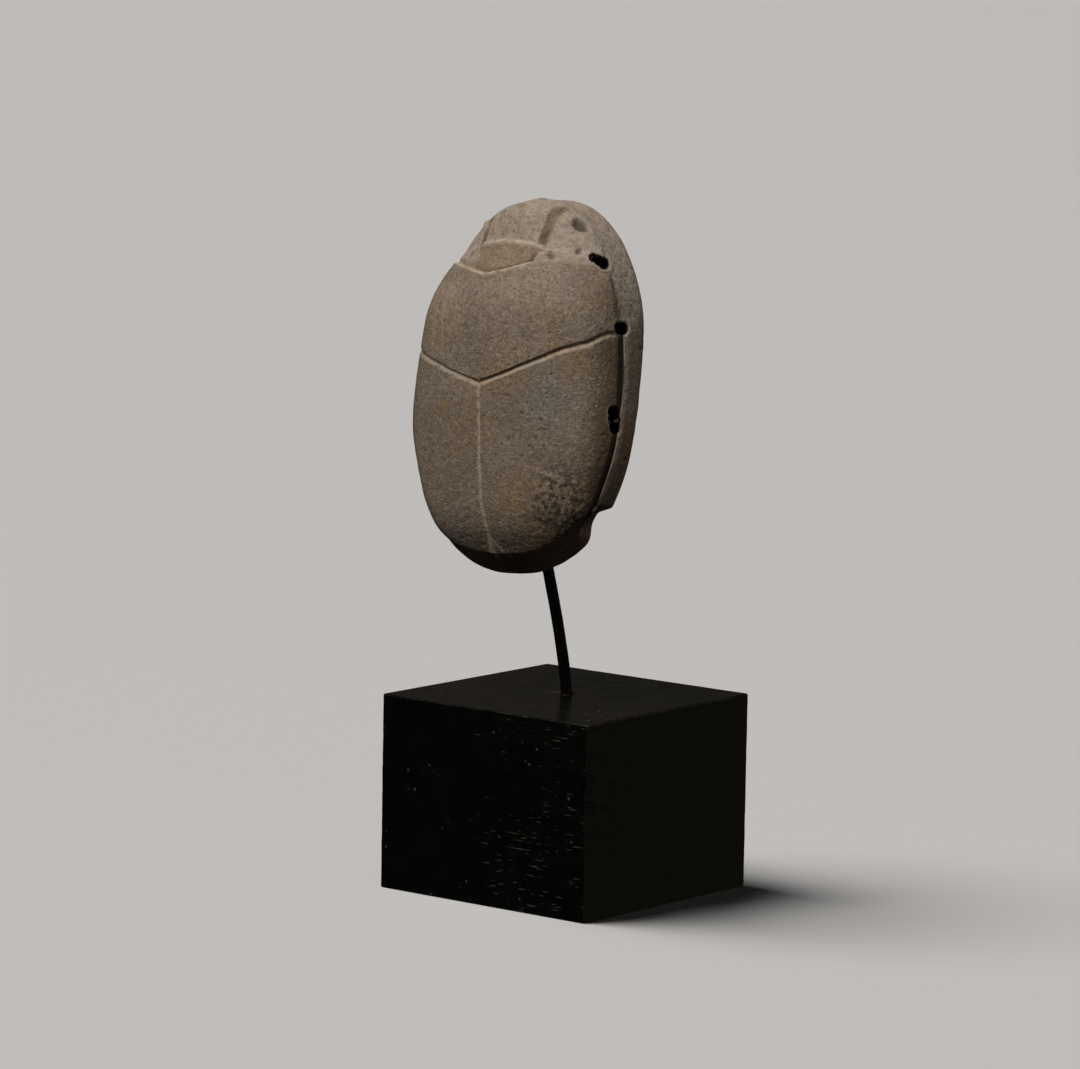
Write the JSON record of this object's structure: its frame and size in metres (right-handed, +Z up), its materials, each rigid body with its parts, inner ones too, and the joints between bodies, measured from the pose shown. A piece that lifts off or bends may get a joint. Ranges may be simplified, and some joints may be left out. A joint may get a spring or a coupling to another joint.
{
  "type": "scarab amulet",
  "caption": "Carved stone scarab beetle with lined wing cases and drilled edge holes, carried on a bent rod over a square black wooden block.",
  "frame": {"origin": "middle of the block's flat underside", "axes": "+Z up; the beetle's back faces -Y and leans back towards +Y, with its head up; +X to the right as one faces its back"},
  "size_m": [0.044, 0.0461, 0.1173],
  "materials": {
    "stone": "worn, fine-grained, matt grey-brown",
    "rod_paint": "satin black paint on steel wire",
    "black_lacquer": "black lacquered open-grained wood"
  },
  "bodies": {
    "root": {"scarab": "stone", "rod": "rod_paint", "block": "black_lacquer"}
  },
  "joints": []
}
